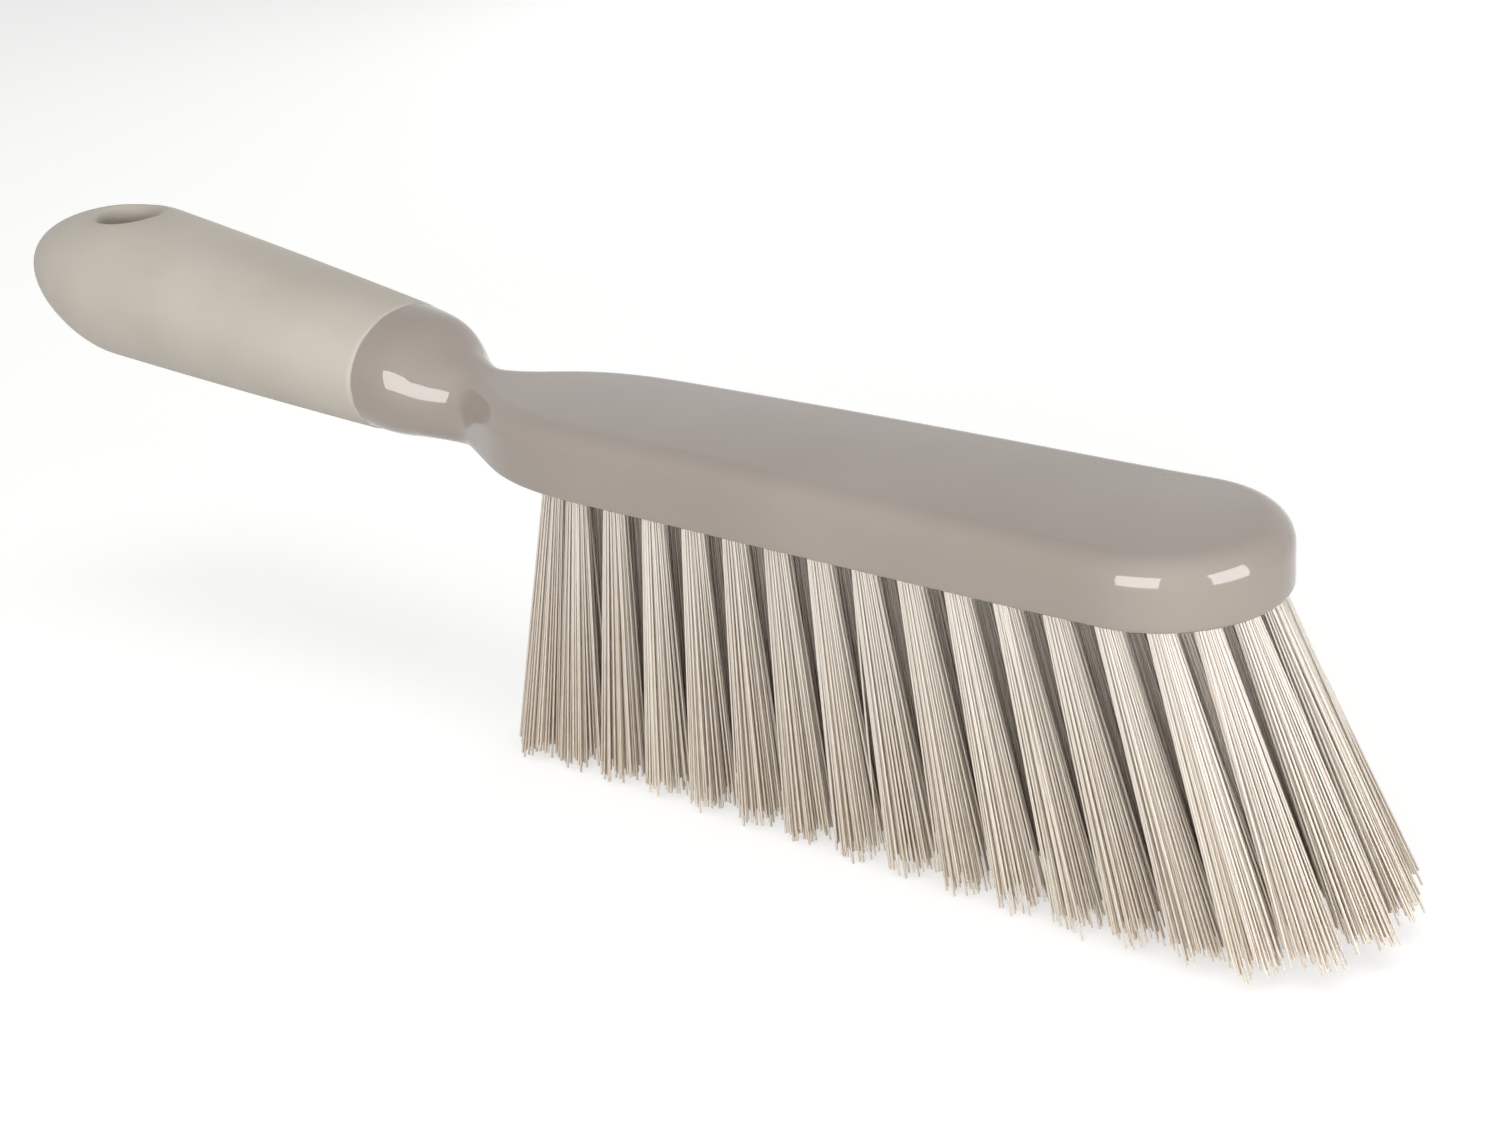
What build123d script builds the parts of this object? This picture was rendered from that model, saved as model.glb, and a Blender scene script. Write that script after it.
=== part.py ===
from build123d import *
import math
import os

os.makedirs("parts", exist_ok=True)

# A hand broom that stands on its trimmed bristles. X runs from the handle to the nose,
# Z is up, and the origin is on the floor under the middle of the broom.

# Driving sizes of the whole broom, in millimetres and degrees
body_length = 310.9         # tail of the grip to the nose of the block
bristle_length = 57.5       # underside of the block to the floor
nose_radius = 20.95         # round end of the block, and half its greatest width
block_thickness = 13.7      # at the shoulder, behind the middle of the block
block_crown = 0.6           # how far the top is domed above its shoulders
shoulder_radius = 5.2       # between the top and the flanks
rim_radius = 0.8            # between the flanks and the underside

# Grip: a tapered oval sleeve with a rounded tail
grip_length = 115.7
grip_tilt = 6.3             # degrees that the handle rises towards its tail
grip_front_height = 26.2
grip_middle_height = 30.3
grip_rear_height = 33.5
grip_oval_share = 1.18      # width of a section, of its height
grip_rise = 12.7            # front end's middle above the underside of the block
grip_wall = 2.5
grip_proud = 0.3            # step from the sleeve down to the moulding in front of it
tail_start_share = 0.703    # where the taper ends and the tail rounds off
tail_shoulder_share = 0.24  # pull of the tail's curve along the handle
tail_nose_share = 0.59      # pull of the tail's curve across the handle
core_overlap = 4.0          # length of handle core that reaches into the neck

# Hang hole through the tail of the grip
hang_hole_radius = 6.5
hang_hole_inset = 30.0      # from the tail
hang_hole_lip = 5.0         # radius of its rounded mouths
cut_overrun = 12.0
hole_overrun = 3.0

# Tufts: folded bundles of filament in blind holes, each held by a flat wire anchor
tuft_pitch = 9.6
tuft_hole_radius = 2.4
tuft_hole_depth = 9.0
tuft_margin = 4.6           # from the rim to the middle of an outer tuft
straight_tufts = 13         # along each straight side
first_tuft_inset = 1.4      # of the foremost of them, behind the middle of the nose
tail_tuft_pitch = 8.0       # on to the last outer tufts, which stand further in
tail_tuft_share = 0.83      # of the others' distance from the middle
nose_pairs = 3              # round the nose
tuft_clearance = 0.05
strands_round_tuft = 6
strand_sides = 4
strand_root_radius = 0.65   # circumscribed, at the block
strand_tip_radius = 1.0     # circumscribed, at the floor
root_circle_radius = 1.5
tip_circle_radius = 3.3
strand_embedment = 2.0
strand_length = 59.0        # as cut, before the tips that reach the floor are trimmed flat

# Lean of the tufts, as rise over run at the floor
rear_fan_share = -0.13
front_fan_share = 0.315
side_flare_share = 0.035
tail_flare_share = 0.10
nose_flare_share = 0.12

# Anchors: short pieces of flat wire across the bottoms of the holes
anchor_thickness = 0.5
anchor_height = 2.0
anchor_bite = 0.6           # into the moulding at each end
fold_thickness = 1.0        # of filament between an anchor and the bottom of its hole

# Sections of the block from the front of the grip (0) to the middle of the nose (1).
# Each row is the place along, then the half width as a share of nose_radius, the top
# and the underside as shares of block_thickness, the roundness from 0 for the block's
# own corners to 1 for a full oval, and the share of grip_tilt.
section_shares = [
    (0.027, 0.711, 1.790, -0.030, 1.00, 0.6),
    (0.056, 0.644, 1.635, -0.015, 1.00, 0.3),
    (0.081, 0.525, 1.360, 0.000, 0.92, 0.0),
    (0.107, 0.401, 1.185, 0.000, 0.75, 0.0),
    (0.124, 0.368, 1.100, 0.000, 0.60, 0.0),
    (0.147, 0.428, 1.050, 0.000, 0.42, 0.0),
    (0.176, 0.540, 1.030, 0.000, 0.25, 0.0),
    (0.210, 0.673, 1.022, 0.000, 0.12, 0.0),
    (0.256, 0.797, 1.015, 0.000, 0.04, 0.0),
    (0.313, 0.868, 1.007, 0.000, 0.00, 0.0),
    (0.393, 0.897, 1.000, 0.000, 0.00, 0.0),
    (0.593, 0.938, 0.971, 0.000, 0.00, 0.0),
    (0.793, 0.978, 0.923, 0.000, 0.00, 0.0),
    (0.930, 0.997, 0.888, 0.000, 0.00, 0.0),
    (1.000, 1.000, 0.883, 0.000, 0.00, 0.0),
]
oval_corner_share = 0.97    # of a half width or height, for the corners of a full oval
full_width_share = 0.393    # along the block, where it reaches its straight sides
rear_width_share = 0.897    # half width there, of nose_radius
inner_share = 0.34          # distance of the inner tufts from the middle, of the outer ones

# Places worked out from the sizes
tilt = math.radians(grip_tilt)
tuft_circle = nose_radius - tuft_margin
nose_step = math.pi / (2 * nose_pairs + 1)


def nose_lean(angle):
    """Lean of a nose tuft along and across the broom."""
    flare = side_flare_share + (nose_flare_share - side_flare_share) * math.sin(angle)
    return front_fan_share + flare * math.sin(angle), flare * math.cos(angle)


def tip_drop(lean, flare):
    """Depth of a tuft's tips under the block: fanned strands reach less far down."""
    return min(bristle_length, strand_length / math.sqrt(1 + lean ** 2 + flare ** 2))


front_lean, front_flare = nose_lean(nose_pairs * nose_step)
tip_reach = tip_drop(front_lean, front_flare) * front_lean + tip_circle_radius + strand_tip_radius
front_reach = tuft_circle * math.sin(nose_pairs * nose_step) + tip_reach
tail_reach = body_length - nose_radius
nose_x = (tail_reach - front_reach) / 2
tail_x = nose_x - tail_reach
grip_x = tail_x + grip_length * math.cos(tilt)
block_run = nose_x - grip_x
underside_z = bristle_length
grip_z = underside_z + grip_rise
along_handle = Vector(-math.cos(tilt), 0, math.sin(tilt))
handle_up = Vector(math.sin(tilt), 0, math.cos(tilt))


def section_outline(flank_x, top_y, shoulder, rim):
    """Half outline of a section, from the middle of its underside to its top."""
    Line((0, -top_y), (flank_x - rim[0], -top_y))
    EllipticalCenterArc((flank_x - rim[0], rim[1] - top_y), rim[0], rim[1], start_angle=270, arc_size=90)
    Line((flank_x, rim[1] - top_y), (flank_x, top_y - shoulder[1]))
    flat = flank_x - shoulder[0]
    EllipticalCenterArc((flat, top_y - shoulder[1]), shoulder[0], shoulder[1], start_angle=0, arc_size=90)
    rise = block_crown * (flat / (nose_radius - shoulder_radius)) ** 2
    bow = (flat ** 2 + rise ** 2) / (2 * rise)
    middle = math.asin(flat / bow) / 2
    on_arc = (bow * math.sin(middle), top_y + rise - bow * (1 - math.cos(middle)))
    ThreePointArc((flat, top_y), on_arc, (0, top_y + rise))


def corner(plain_radius, half_width, half_height, roundness):
    """Corner radii between the block's own radius and those of a full oval."""
    oval = (oval_corner_share * half_width, oval_corner_share * half_height)
    return [plain_radius + (full - plain_radius) * roundness for full in oval]


def section_face(plane, half_width, half_height, roundness):
    """Whole section on its plane."""
    with BuildSketch(plane) as section:
        with BuildLine():
            section_outline(
                half_width,
                half_height,
                corner(shoulder_radius, half_width, half_height, roundness),
                corner(rim_radius, half_width, half_height, roundness),
            )
            mirror(about=Plane.YZ)
        make_face()
    return section.sketch


def section_plane(x, z, share_of_tilt):
    """Plane across the broom, leaning back with the handle."""
    lean = tilt * share_of_tilt
    return Plane(origin=(x, 0, z), x_dir=(0, 1, 0), z_dir=(math.cos(lean), 0, -math.sin(lean)))


def grip_meridian(inset):
    """Half outline of the handle beside its axis, drawn in by the thickness of a wall."""
    tail = grip_length - inset
    start = grip_length * tail_start_share
    front, middle, rear = [h / 2 - inset for h in (grip_front_height, grip_middle_height, grip_rear_height)]
    slope = (rear - middle) / (start / 2)
    round_off = tail - start
    Line((0, 0), (0, front))
    Spline((0, front), (start / 2, middle), (start, rear))
    Bezier(
        (start, rear),
        (start + tail_shoulder_share * round_off, rear + tail_shoulder_share * round_off * slope),
        (tail, tail_nose_share * rear),
        (tail, 0),
    )
    Line((tail, 0), (0, 0))


handle_plane = Plane(origin=(grip_x, 0, grip_z), x_dir=along_handle, z_dir=(0, 1, 0))
handle_axis = Axis((grip_x, 0, grip_z), along_handle)
hole_centre = Vector(grip_x, 0, grip_z) + along_handle * (grip_length - hang_hole_inset)
hole_axis = Axis(hole_centre, handle_up)

# Tufts, each with the point where it leaves the underside and its lean at the floor
straight_run = block_run * (1 - full_width_share)


def outer_line(x):
    """Distance of the outer tufts from the middle of the broom, beside x."""
    share = (nose_x - x) / straight_run
    return tuft_circle - share * nose_radius * (1 - rear_width_share)


def fan(x):
    """Lean along the broom of a straight tuft that stands at x."""
    share = (nose_x - x) / (tuft_pitch * straight_tufts)
    return front_fan_share + share * (rear_fan_share - front_fan_share)


def mirrored(x, y, lean, flare):
    """A tuft and its twin across the broom."""
    return [(x, side * y, lean, side * flare) for side in (-1, 1)]


tufts = {}
outer_x = [nose_x - first_tuft_inset - number * tuft_pitch for number in range(straight_tufts)]
for number, x in enumerate(reversed(outer_x)):
    tufts[f"outer_tufts_{number + 2:02d}"] = mirrored(x, outer_line(x), fan(x), side_flare_share)
tail_tuft_x = outer_x[-1] - tail_tuft_pitch
tail_tuft_y = outer_line(tail_tuft_x) * tail_tuft_share
tufts["outer_tufts_01"] = mirrored(tail_tuft_x, tail_tuft_y, fan(tail_tuft_x), tail_flare_share)
for number in range(straight_tufts + 2):
    x = outer_x[-1] + (number - 3 / 2) * tuft_pitch
    tufts[f"inner_tufts_{number + 1:02d}"] = mirrored(x, outer_line(x) * inner_share, fan(x), 0)
for number in range(1, nose_pairs + 1):
    angle = number * nose_step
    x = nose_x + tuft_circle * math.sin(angle)
    tufts[f"nose_tufts_{number}"] = mirrored(x, tuft_circle * math.cos(angle), *nose_lean(angle))
all_tufts = [tuft for pair in tufts.values() for tuft in pair]
anchor_length = 2 * (tuft_hole_radius + anchor_bite)
anchor_seat = tuft_hole_depth - fold_thickness - anchor_height


def tuft_plane(tuft):
    """Plane at the mouth of a tuft's hole, with Z up the hole and X across the broom."""
    x, y, lean, flare = tuft
    up_hole = Vector(-lean, -flare, 1).normalized()
    across = Vector(0, 1, 0) - up_hole * up_hole.Y
    return Plane(origin=(x, y, underside_z), x_dir=across, z_dir=up_hole)


def planes_up_holes(pair, height):
    """Planes across the holes of some tufts, at a height above their mouths."""
    return [tuft_plane(tuft).offset(height) for tuft in pair]


def strand(tuft, angle, root_offset, tip_offset):
    """One strand, from inside the packed root down to the floor."""
    x, y, lean, flare = tuft
    heading = (math.cos(angle), math.sin(angle))
    ends = []
    for height, offset, radius in (
        (underside_z + strand_embedment, root_offset, strand_root_radius),
        (underside_z - tip_drop(lean, flare), tip_offset, strand_tip_radius),
    ):
        drop = underside_z - height
        centre = (x + lean * drop + offset * heading[0], y + flare * drop + offset * heading[1])
        with BuildSketch(Plane.XY.offset(height), mode=Mode.PRIVATE) as end:
            with Locations(centre):
                RegularPolygon(radius, strand_sides, rotation=math.degrees(angle))
        ends.append(end.sketch.face().outer_wire())
    return Solid.make_loft(ends, ruled=True)


# Core of the handle, an oval with an eye for the hang hole
with BuildPart() as core:
    with BuildSketch(handle_plane):
        with BuildLine():
            grip_meridian(grip_wall)
        make_face()
    revolve(axis=handle_axis)
    with BuildSketch(Plane(origin=(grip_x, 0, grip_z), z_dir=-along_handle)):
        Circle(grip_front_height / 2 - grip_wall)
    extrude(amount=core_overlap)
    scale(by=(1, grip_oval_share, 1))
    with BuildSketch(Plane(origin=hole_centre, z_dir=handle_up)):
        Circle(hang_hole_radius + grip_wall)
    extrude(amount=grip_rear_height / 2 + cut_overrun, both=True, mode=Mode.SUBTRACT)

# Brush block: one glossy moulding with its neck and the core of the handle
with BuildPart() as brush_block:
    front_half = grip_front_height / 2 - grip_proud
    sections = [section_face(section_plane(grip_x, grip_z, 1), front_half * grip_oval_share, front_half, 1)]
    for along, width_share, top_share, bottom_share, roundness, lean_share in section_shares:
        top = block_thickness * top_share
        bottom = block_thickness * bottom_share
        plane = section_plane(grip_x + block_run * along, underside_z + (top + bottom) / 2, lean_share)
        sections.append(section_face(plane, nose_radius * width_share, (top - bottom) / 2, roundness))
    loft(sections)
    nose_half = block_thickness * section_shares[-1][2] / 2
    with BuildSketch(Plane(origin=(nose_x, 0, underside_z + nose_half), x_dir=(0, -1, 0), z_dir=(-1, 0, 0))):
        with BuildLine():
            section_outline(nose_radius, nose_half, [shoulder_radius] * 2, [rim_radius] * 2)
            Line((0, nose_half + block_crown), (0, -nose_half))
        make_face()
    revolve(axis=Axis((nose_x, 0, 0), (0, 0, 1)), revolution_arc=180)
    add(core.part)
    with BuildSketch(*planes_up_holes(all_tufts, tuft_hole_depth)):
        Circle(tuft_hole_radius)
    extrude(amount=-tuft_hole_depth - hole_overrun, mode=Mode.SUBTRACT)
    with BuildSketch(*planes_up_holes(all_tufts, anchor_seat - tuft_clearance)):
        Rectangle(anchor_length + 2 * tuft_clearance, anchor_thickness + 2 * tuft_clearance)
    extrude(amount=anchor_height + 2 * tuft_clearance, mode=Mode.SUBTRACT)
brush_block.part.label = "brush_block"
export_step(brush_block.part, "parts/brush_block.step")

# Soft grip: a rubbery sleeve moulded over the core, which also lines the hang hole
with BuildPart() as soft_grip:
    with BuildSketch(handle_plane):
        with BuildLine():
            grip_meridian(0)
        make_face()
    revolve(axis=handle_axis)
    scale(by=(1, grip_oval_share, 1))
    add(core.part, mode=Mode.SUBTRACT)
    mouth = grip_rear_height / 2
    with BuildSketch(Plane(origin=hole_centre, x_dir=along_handle, z_dir=(0, 1, 0))):
        with BuildLine():
            mouth_radius = hang_hole_radius + hang_hole_lip
            for side in (-1, 1):
                lip_centre = (mouth_radius, side * (mouth - hang_hole_lip))
                RadiusArc((hang_hole_radius, lip_centre[1]), (mouth_radius, side * mouth), side * hang_hole_lip)
                Line((mouth_radius, side * mouth), (mouth_radius, side * (mouth + cut_overrun)))
                Line((mouth_radius, side * (mouth + cut_overrun)), (0, side * (mouth + cut_overrun)))
            Line((hang_hole_radius, hang_hole_lip - mouth), (hang_hole_radius, mouth - hang_hole_lip))
            Line((0, -mouth - cut_overrun), (0, mouth + cut_overrun))
        make_face()
    revolve(axis=hole_axis, mode=Mode.SUBTRACT)
soft_grip.part.label = "soft_grip"
export_step(soft_grip.part, "parts/soft_grip.step")

# Anchors, one across the bottom of each hole
with BuildPart() as tuft_anchors:
    with BuildSketch(*planes_up_holes(all_tufts, anchor_seat)):
        Rectangle(anchor_length, anchor_thickness)
    extrude(amount=anchor_height)
tuft_anchors.part.label = "tuft_anchors"
export_step(tuft_anchors.part, "parts/tuft_anchors.step")

# Tufts, in pairs that mirror each other: a packed root in its hole and the strands below
for name, pair in tufts.items():
    with BuildPart() as tuft_pair:
        with BuildSketch(*planes_up_holes(pair, tuft_hole_depth - tuft_clearance)):
            Circle(tuft_hole_radius - tuft_clearance)
        extrude(amount=-tuft_hole_depth - hole_overrun)
        with BuildSketch(*planes_up_holes(pair, anchor_seat - tuft_clearance)):
            Rectangle(anchor_length, anchor_thickness + 2 * tuft_clearance)
        extrude(amount=anchor_height + 2 * tuft_clearance, mode=Mode.SUBTRACT)
        split(bisect_by=Plane.XY.offset(underside_z), keep=Keep.TOP)
        strands = []
        for tuft in pair:
            strands.append(strand(tuft, 0, 0, 0))
            for number in range(strands_round_tuft):
                angle = 2 * math.pi * number / strands_round_tuft
                strands.append(strand(tuft, angle, root_circle_radius, tip_circle_radius))
        add(strands)
    tuft_pair.part.label = name
    export_step(tuft_pair.part, f"parts/{name}.step")

x, y, lean, flare = tufts["inner_tufts_08"][0]
print("Hang hole: middle", hole_centre, "along", handle_up)
print("Length of its straight bore:", grip_rear_height - 2 * hang_hole_lip)
print("Tip of a strand on the floor:", x + lean * bristle_length, y + flare * bristle_length)
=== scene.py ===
import bmesh
import bpy
import math
import numpy as np
from mathutils import Matrix, Vector


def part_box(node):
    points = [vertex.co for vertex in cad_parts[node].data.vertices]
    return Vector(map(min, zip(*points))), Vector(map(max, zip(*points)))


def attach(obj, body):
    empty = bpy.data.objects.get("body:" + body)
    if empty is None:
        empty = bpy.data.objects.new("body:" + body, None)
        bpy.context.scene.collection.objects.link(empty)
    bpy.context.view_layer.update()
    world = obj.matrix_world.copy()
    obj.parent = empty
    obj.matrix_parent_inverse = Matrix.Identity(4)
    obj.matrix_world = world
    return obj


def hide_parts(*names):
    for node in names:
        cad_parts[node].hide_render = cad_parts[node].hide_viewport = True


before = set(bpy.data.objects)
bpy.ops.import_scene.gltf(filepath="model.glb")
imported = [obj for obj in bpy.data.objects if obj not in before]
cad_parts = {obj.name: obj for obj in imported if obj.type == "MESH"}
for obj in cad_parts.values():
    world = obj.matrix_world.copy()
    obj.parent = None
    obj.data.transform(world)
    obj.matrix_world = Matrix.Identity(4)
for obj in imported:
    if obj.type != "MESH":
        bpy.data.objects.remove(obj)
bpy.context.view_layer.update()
mm = 0.001


# Brush block: one injection moulding in glossy polypropylene, the neck and the core of the
# handle included. It is swept through its sections from the tail of the core to the front,
# closed by a turned nose, and its underside is drilled for the tufts.
nose_radius = 20.95 * mm
block_thickness = 13.7 * mm
block_crown = 0.6 * mm
shoulder_radius = 5.2 * mm
rim_radius = 0.8 * mm
bristle_length = 57.5 * mm
grip_length = 115.7 * mm
grip_tilt = math.radians(6.3)
grip_heights = [26.2 * mm, 30.3 * mm, 33.5 * mm]
grip_oval_share = 1.18
grip_rise = 12.7 * mm
grip_wall = 2.5 * mm
grip_proud = 0.3 * mm
tail_start_share = 0.703
tail_shoulder_share = 0.24
tail_nose_share = 0.59
oval_corner_share = 0.97
hang_hole_radius = 6.5 * mm
hang_hole_inset = 30.0 * mm
straight_share = 0.393
rear_width_share = 0.897

# Each row: place along the neck and the block, half width, top, bottom, roundness and lean
section_shares = [
    (0.027, 0.711, 1.790, -0.030, 1.00, 0.6),
    (0.056, 0.644, 1.635, -0.015, 1.00, 0.3),
    (0.081, 0.525, 1.360, 0.000, 0.92, 0.0),
    (0.107, 0.401, 1.185, 0.000, 0.75, 0.0),
    (0.124, 0.368, 1.100, 0.000, 0.60, 0.0),
    (0.147, 0.428, 1.050, 0.000, 0.42, 0.0),
    (0.176, 0.540, 1.030, 0.000, 0.25, 0.0),
    (0.210, 0.673, 1.022, 0.000, 0.12, 0.0),
    (0.256, 0.797, 1.015, 0.000, 0.04, 0.0),
    (0.313, 0.868, 1.007, 0.000, 0.00, 0.0),
    (straight_share, rear_width_share, 1.000, 0.000, 0.00, 0.0),
    (0.593, 0.938, 0.971, 0.000, 0.00, 0.0),
    (0.793, 0.978, 0.923, 0.000, 0.00, 0.0),
    (0.930, 0.997, 0.888, 0.000, 0.00, 0.0),
    (1.000, 1.000, 0.883, 0.000, 0.00, 0.0),
]

# Points and rings that draw the curves
underside_points = 5
rim_points = 6
flank_points = 4
shoulder_points = 16
crown_points = 11
handle_points = 24
neck_rings = 120
block_rings_ahead = 60
nose_strips_round = 65
pole_radius = 0.01 * mm
merge_distance = 0.002 * mm
pole_merge_distance = 0.001 * mm

nose_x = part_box("brush_block")[1].x - nose_radius
tail_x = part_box("soft_grip")[0].x
along_handle = Vector((-math.cos(grip_tilt), 0, math.sin(grip_tilt)))
handle_up = Vector((math.sin(grip_tilt), 0, math.cos(grip_tilt)))
grip_front = Vector((tail_x - grip_length * along_handle.x, 0, bristle_length + grip_rise))
hole_centre = grip_front + along_handle * (grip_length - hang_hole_inset)
block_run = nose_x - grip_front.x


def arc(centre, radii, start, stop, steps):
    """Points of an oval arc, without its first one."""
    x, y = centre
    wide, high = radii
    turns = [start + (stop - start) * step / steps for step in range(1, steps + 1)]
    return [(x + wide * math.cos(turn), y + high * math.sin(turn)) for turn in turns]


def half_section(half_width, half_height, roundness):
    """One half of a section, from the middle of its underside to the middle of its top."""
    oval = (oval_corner_share * half_width, oval_corner_share * half_height)
    shoulder = [shoulder_radius + (full - shoulder_radius) * roundness for full in oval]
    rim = [rim_radius + (full - rim_radius) * roundness for full in oval]
    flat = half_width - shoulder[0]
    foot = half_width - rim[0]
    crown = block_crown * (flat / (nose_radius - shoulder_radius)) ** 2
    low, high = rim[1] - half_height, half_height - shoulder[1]
    points = [(foot * share, -half_height) for share in np.linspace(0, 1, underside_points)]
    points += arc((foot, low), rim, -math.pi / 2, 0, rim_points)
    points += [(half_width, low + (high - low) * share) for share in np.linspace(0, 1, flank_points)[1:]]
    points += arc((flat, high), shoulder, 0, math.pi / 2, shoulder_points)
    for share in np.linspace(0, 1, crown_points)[1:]:
        points.append((flat * (1 - share), half_height + crown * share * (2 - share)))
    return points


def ring(half_width, half_height, roundness, place, lean):
    """Whole section at a place, leaning back with the handle."""
    half = half_section(half_width, half_height, roundness)
    outline = half + [(-y, z) for y, z in half[-2:0:-1]]
    up = Vector((math.sin(lean), 0, math.cos(lean)))
    return [place + Vector((0, y, 0)) + up * z for y, z in outline]


def natural_spline(places, values, at):
    """Values between those given, on the smooth curve through them all."""
    steps = np.diff(places)
    matrix = np.eye(len(places))
    right = np.zeros(len(places))
    for i in range(1, len(places) - 1):
        matrix[i, i - 1:i + 2] = steps[i - 1], 2 * (steps[i - 1] + steps[i]), steps[i]
        right[i] = 6 * ((values[i + 1] - values[i]) / steps[i] - (values[i] - values[i - 1]) / steps[i - 1])
    bend = np.linalg.solve(matrix, right)
    i = np.clip(np.searchsorted(places, at) - 1, 0, len(places) - 2)
    before = (at - places[i]) / steps[i]
    after = 1 - before
    curve = (before ** 3 - before) * bend[i + 1] + (after ** 3 - after) * bend[i]
    return after * values[i] + before * values[i + 1] + curve * steps[i] ** 2 / 6


def handle_profile(inset):
    """Distances along and from the handle's axis, drawn in by the thickness of a wall."""
    front, middle, rear = [height / 2 - inset for height in grip_heights]
    start = grip_length * tail_start_share
    tail = grip_length - inset
    slope = (rear - middle) / (start / 2)
    pull = tail_shoulder_share * (tail - start)
    profile = []
    for share in np.linspace(0, 1, handle_points):
        bow = 4 * share * (1 - share) * (middle - (front + rear) / 2)
        profile.append((start * share, front + (rear - front) * share + bow))
    corners = np.array([
        (start, rear),
        (start + pull, rear + pull * slope),
        (tail, tail_nose_share * rear),
        (tail, 0),
    ])
    for share in np.linspace(0, 1, handle_points)[1:]:
        weights = [(1 - share) ** 3, 3 * share * (1 - share) ** 2, 3 * share ** 2 * (1 - share), share ** 3]
        profile.append(tuple(np.array(weights) @ corners))
    return profile


def new_object(name, points, edges=(), faces=()):
    """An object with its own new mesh, in the scene."""
    mesh = bpy.data.meshes.new(name)
    mesh.from_pydata([tuple(point) for point in points], list(edges), list(faces))
    obj = bpy.data.objects.new(name, mesh)
    bpy.context.scene.collection.objects.link(obj)
    return obj


def skin(rings, closed):
    """Faces between rings of points, the points in one list."""
    points = [point for one in rings for point in one]
    count = len(rings[0])
    faces = []
    for row in range(len(rings) - 1):
        for i in range(count if closed else count - 1):
            j = (i + 1) % count
            faces.append((row * count + i, row * count + j, (row + 1) * count + j, (row + 1) * count + i))
    return points, faces


def add(tree, kind, inputs=(), **settings):
    """Adds a node with its settings. An input is given a value, or another node's output to link."""
    node = tree.nodes.new(kind)
    for key, value in settings.items():
        setattr(node, key, value)
    for key, value in dict(inputs).items():
        if isinstance(value, bpy.types.NodeSocket):
            tree.links.new(value, node.inputs[key])
        else:
            node.inputs[key].default_value = value
    return node


def new_tree(name, **kinds):
    """A tree of Geometry Nodes with these named inputs, its group input and its group output."""
    tree = bpy.data.node_groups.new(name, "GeometryNodeTree")
    tree.is_modifier = True
    tree.interface.new_socket("Geometry", in_out="INPUT", socket_type="NodeSocketGeometry")
    for label, kind in kinds.items():
        tree.interface.new_socket(label.replace("_", " "), in_out="INPUT", socket_type="NodeSocket" + kind)
    tree.interface.new_socket("Geometry", in_out="OUTPUT", socket_type="NodeSocketGeometry")
    return tree, tree.nodes.new("NodeGroupInput").outputs, tree.nodes.new("NodeGroupOutput").inputs


def run_tree(obj, tree, **values):
    """Puts a tree on an object, with its named inputs set by their identifiers."""
    modifier = obj.modifiers.new(tree.name, "NODES")
    modifier.node_group = tree
    for item in tree.interface.items_tree:
        key = item.name.replace(" ", "_")
        if item.in_out == "INPUT" and key in values:
            modifier[item.identifier] = values[key]


def settle(obj):
    """Makes what an object's modifiers give its own plain mesh, and takes the modifiers off."""
    result = obj.evaluated_get(bpy.context.evaluated_depsgraph_get())
    obj.data = bpy.data.meshes.new_from_object(result)
    obj.modifiers.clear()


def cut(obj, cutter):
    """Takes a cutter's shape out of an object."""
    modifier = obj.modifiers.new("Cut", "BOOLEAN")
    modifier.object = cutter
    modifier.solver = "EXACT"
    modifier.operation = "DIFFERENCE"


def tidy_surface(obj, crease=math.radians(30)):
    """Merges doubled points, turns the faces outwards and smooths all but the creases."""
    bm = bmesh.new()
    bm.from_mesh(obj.data)
    bmesh.ops.remove_doubles(bm, verts=bm.verts, dist=merge_distance)
    bmesh.ops.recalc_face_normals(bm, faces=bm.faces)
    bm.to_mesh(obj.data)
    bm.free()
    obj.data.shade_smooth()
    obj.data.set_sharp_from_angle(angle=crease)


# Turned shapes: a profile of distances along and from an axis, turned into an oval solid
turning, given, result = new_tree("Turned profile", Steps="Int", Oval="Float", Material="Material")
size = add(turning, "GeometryNodeAttributeDomainSize", {0: given["Geometry"]})
rows = size.outputs["Point Count"]
columns = add(turning, "ShaderNodeMath", {0: given["Steps"], 1: 1.0}, operation="ADD").outputs[0]
grid = add(turning, "GeometryNodeMeshGrid", {"Vertices X": rows, "Vertices Y": columns})
index = add(turning, "GeometryNodeInputIndex").outputs[0]
row = add(turning, "ShaderNodeMath", {0: index, 1: columns}, operation="DIVIDE").outputs[0]
row = add(turning, "ShaderNodeMath", {0: row}, operation="FLOOR").outputs[0]
column = add(turning, "ShaderNodeMath", {0: index, 1: columns}, operation="MODULO").outputs[0]
position = add(turning, "GeometryNodeInputPosition").outputs[0]
profile = add(
    turning,
    "GeometryNodeSampleIndex",
    {"Geometry": given["Geometry"], "Value": position, "Index": row},
    data_type="FLOAT_VECTOR",
).outputs[0]
profile = add(turning, "ShaderNodeSeparateXYZ", {0: profile}).outputs
turn = add(turning, "ShaderNodeMath", {0: column, 1: given["Steps"]}, operation="DIVIDE").outputs[0]
turn = add(turning, "ShaderNodeMath", {0: turn, 1: 2 * math.pi}, operation="MULTIPLY").outputs[0]
wide = add(turning, "ShaderNodeMath", {0: turn}, operation="COSINE").outputs[0]
wide = add(turning, "ShaderNodeMath", {0: wide, 1: profile["Y"]}, operation="MULTIPLY").outputs[0]
wide = add(turning, "ShaderNodeMath", {0: wide, 1: given["Oval"]}, operation="MULTIPLY").outputs[0]
high = add(turning, "ShaderNodeMath", {0: turn}, operation="SINE").outputs[0]
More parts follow.
